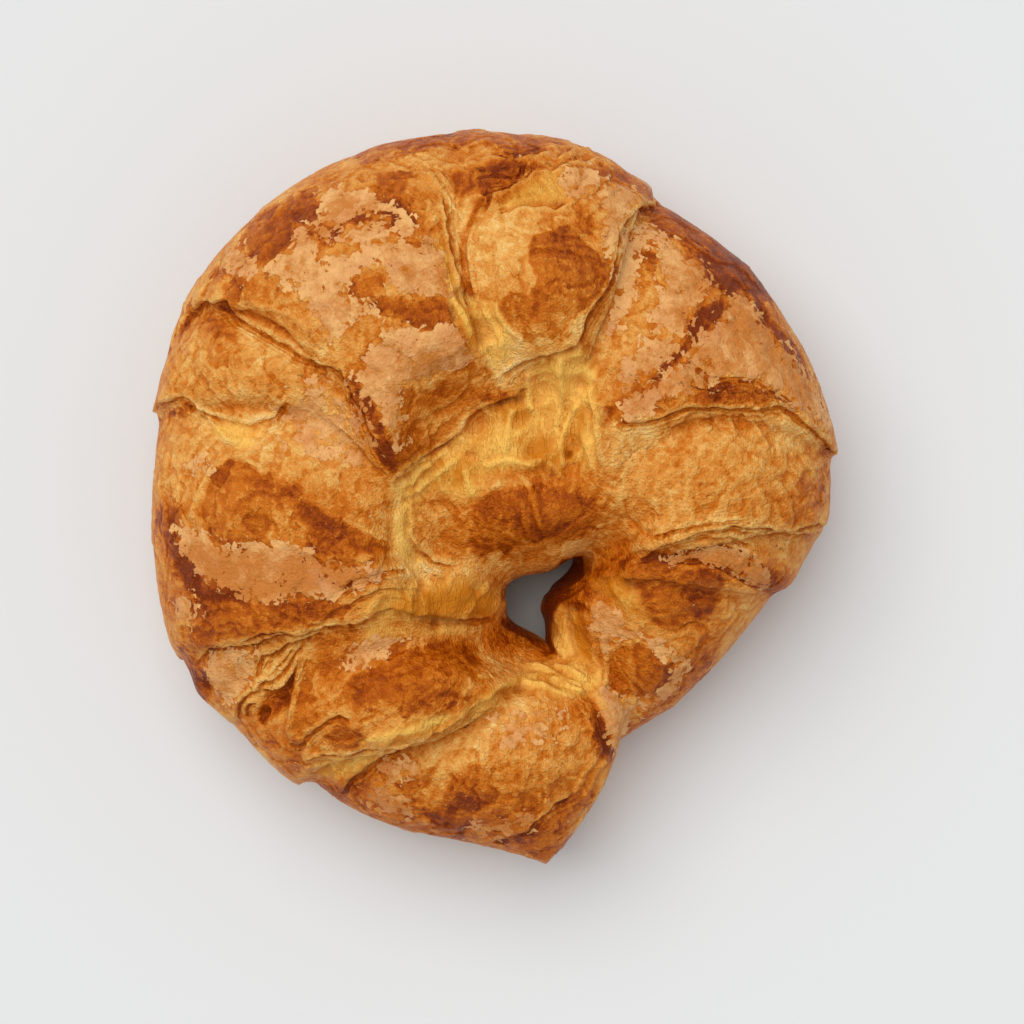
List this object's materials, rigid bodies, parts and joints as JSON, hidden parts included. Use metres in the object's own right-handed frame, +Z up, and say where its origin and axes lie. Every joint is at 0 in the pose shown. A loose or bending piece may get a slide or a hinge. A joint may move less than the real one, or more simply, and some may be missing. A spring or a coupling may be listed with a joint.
{
  "type": "croissant",
  "caption": "Butter croissant curled into a ring: swollen wraps of flaky dough overlap from the high crown down to the meeting horns, round a small see-through hole.",
  "frame": {"origin": "middle of the footprint's box, on the table that the croissant lies on", "axes": "+Z up; +Y from the meeting horns to the crown, along the longest extent; +X to the right as seen from above"},
  "size_m": [0.126, 0.1352, 0.0554],
  "materials": {
    "crust": "satin, flaky, golden to brown"
  },
  "bodies": {
    "root": {"croissant": "crust"}
  },
  "joints": []
}
